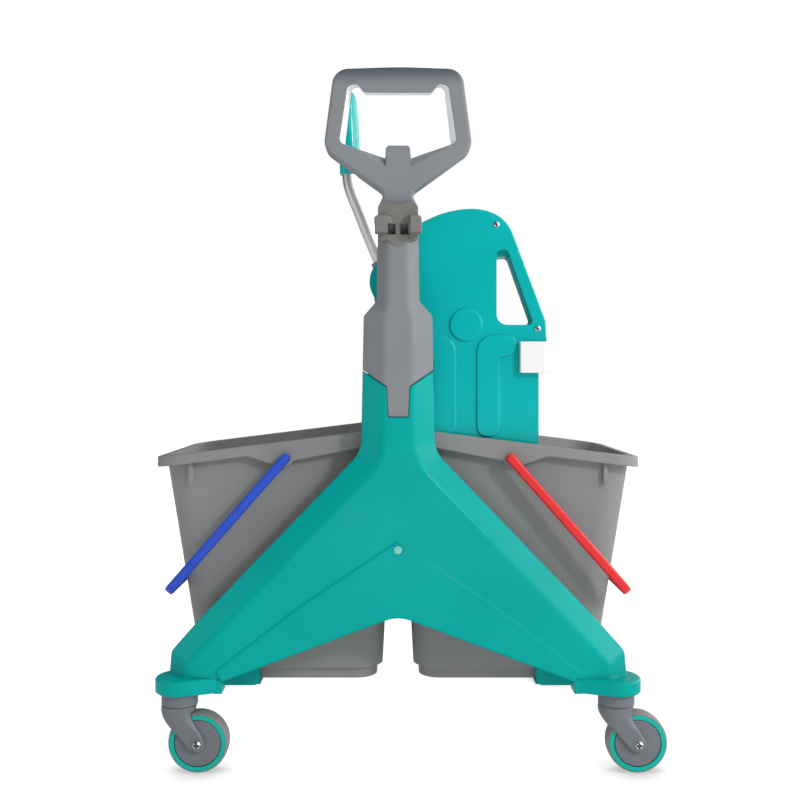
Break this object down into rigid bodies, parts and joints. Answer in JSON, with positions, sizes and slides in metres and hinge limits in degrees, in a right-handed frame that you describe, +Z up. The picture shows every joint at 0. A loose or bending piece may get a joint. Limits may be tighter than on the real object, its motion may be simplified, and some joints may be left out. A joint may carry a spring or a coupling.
{
  "type": "mop trolley",
  "caption": "Mop trolley with paired buckets, a lever wringer that presses a mop between perforated jaws, a D push handle and swivel casters.",
  "frame": {"origin": "centre of the footprint on the floor", "axes": "+X to the right in the picture, +Y away from the viewer, +Z up"},
  "size_m": [0.714, 0.46, 0.9629],
  "materials": {
    "frame_teal": "moulded, fine grain",
    "plug_teal": "moulded",
    "column_grey": "moulded, fine grain",
    "handle_grey": "moulded, fine grain",
    "clip_grey": "moulded",
    "steel": "zinc plated",
    "lever_steel": "satin",
    "tyre_grey": "non-marking grey",
    "wheel_teal": "moulded",
    "caster_grey": "moulded",
    "bucket_grey": "moulded, fine grain",
    "bail_blue": "moulded",
    "bail_red": "moulded",
    "clip_white": "moulded",
    "wringer_grey": "moulded",
    "wringer_teal": "moulded"
  },
  "bodies": {
    "chassis": {"front_frame": "frame_teal", "rear_frame": "frame_teal", "centre_beam": "frame_teal", "left_tray": "frame_teal", "right_tray": "frame_teal", "frame_bolts": "steel", "cover_plugs": "plug_teal", "push_column": "column_grey", "column_screws": "steel", "push_handle": "handle_grey", "pole_clip": "clip_grey", "caster_collars": "caster_grey", "king_pins": "steel"},
    "front_left_swivel": {"front_left_fork": "caster_grey", "front_left_axle": "steel"},
    "front_left_wheel": {"front_left_tyre": "tyre_grey", "front_left_wheel_core": "wheel_teal", "front_left_hub_covers": "caster_grey"},
    "front_right_swivel": {"front_right_fork": "caster_grey", "front_right_axle": "steel"},
    "front_right_wheel": {"front_right_tyre": "tyre_grey", "front_right_wheel_core": "wheel_teal", "front_right_hub_covers": "caster_grey"},
    "rear_left_swivel": {"rear_left_fork": "caster_grey", "rear_left_axle": "steel"},
    "rear_left_wheel": {"rear_left_tyre": "tyre_grey", "rear_left_wheel_core": "wheel_teal", "rear_left_hub_covers": "caster_grey"},
    "rear_right_swivel": {"rear_right_fork": "caster_grey", "rear_right_axle": "steel"},
    "rear_right_wheel": {"rear_right_tyre": "tyre_grey", "rear_right_wheel_core": "wheel_teal", "rear_right_hub_covers": "caster_grey"},
    "left_bucket": {"left_bucket": "bucket_grey"},
    "right_bucket": {"right_bucket": "bucket_grey"},
    "left_bail": {"left_bail": "bail_blue"},
    "right_bail": {"right_bail": "bail_red"},
    "wringer": {"wringer_front_panel": "wringer_teal", "wringer_rear_panel": "wringer_teal", "spacer_bars": "wringer_grey", "panel_screws": "steel", "axle_bushes": "wringer_grey", "edge_clip": "clip_white", "fixed_jaw": "wringer_grey", "drain_grid": "wringer_grey"},
    "press": {"press_plate": "wringer_grey", "front_rack": "wringer_grey", "rear_rack": "wringer_grey"},
    "lever": {"lever_axle": "steel", "front_sector": "wringer_grey", "rear_sector": "wringer_grey", "lever_hub": "wringer_grey", "lever_tube": "lever_steel", "lever_grip": "wringer_teal"}
  },
  "joints": [
    {"name": "front_left_swivel", "type": "hinge", "parent": "chassis", "child": "front_left_swivel", "pos_m": [-0.291, -0.198, 0.09], "axis": [0, 0, 1], "continuous": true},
    {"name": "front_left_roll", "type": "hinge", "parent": "front_left_swivel", "child": "front_left_wheel", "pos_m": [-0.265, -0.198, 0.04], "axis": [0, 1, 0], "continuous": true},
    {"name": "front_right_swivel", "type": "hinge", "parent": "chassis", "child": "front_right_swivel", "pos_m": [0.291, -0.198, 0.09], "axis": [0, 0, 1], "continuous": true},
    {"name": "front_right_roll", "type": "hinge", "parent": "front_right_swivel", "child": "front_right_wheel", "pos_m": [0.317, -0.198, 0.04], "axis": [0, 1, 0], "continuous": true},
    {"name": "rear_left_swivel", "type": "hinge", "parent": "chassis", "child": "rear_left_swivel", "pos_m": [-0.291, 0.198, 0.09], "axis": [0, 0, 1], "continuous": true},
    {"name": "rear_left_roll", "type": "hinge", "parent": "rear_left_swivel", "child": "rear_left_wheel", "pos_m": [-0.317, 0.198, 0.04], "axis": [0, 1, 0], "continuous": true},
    {"name": "rear_right_swivel", "type": "hinge", "parent": "chassis", "child": "rear_right_swivel", "pos_m": [0.291, 0.198, 0.09], "axis": [0, 0, 1], "continuous": true},
    {"name": "rear_right_roll", "type": "hinge", "parent": "rear_right_swivel", "child": "rear_right_wheel", "pos_m": [0.265, 0.198, 0.04], "axis": [0, 1, 0], "continuous": true},
    {"name": "left_bucket_lift", "type": "slide", "parent": "chassis", "child": "left_bucket", "axis": [-0.6, 0, 0.8], "range_m": [0, 0.35]},
    {"name": "right_bucket_lift", "type": "slide", "parent": "chassis", "child": "right_bucket", "axis": [0.6, 0, 0.8], "range_m": [0, 0.35]},
    {"name": "left_bail_swing", "type": "hinge", "parent": "left_bucket", "child": "left_bail", "pos_m": [-0.155, 0, 0.412], "axis": [0, 1, 0], "range_deg": [0, 138]},
    {"name": "right_bail_swing", "type": "hinge", "parent": "right_bucket", "child": "right_bail", "pos_m": [0.155, 0, 0.412], "axis": [0, -1, 0], "range_deg": [0, 116]},
    {"name": "wringer_lift", "type": "slide", "parent": "right_bucket", "child": "wringer", "axis": [0, 0, 1], "range_m": [0, 0.3]},
    {"name": "lever_pull", "type": "hinge", "parent": "wringer", "child": "lever", "pos_m": [-0.005, 0, 0.657], "axis": [0, -1, 0], "range_deg": [0, 60]},
    {"name": "press_slide", "type": "slide", "parent": "wringer", "child": "press", "axis": [-1, 0, 0], "range_m": [0, 0.0377]}
  ],
  "couplings": [
    {"joint": "press_slide", "follows": "lever_pull", "m_per_rad": 0.036}
  ]
}
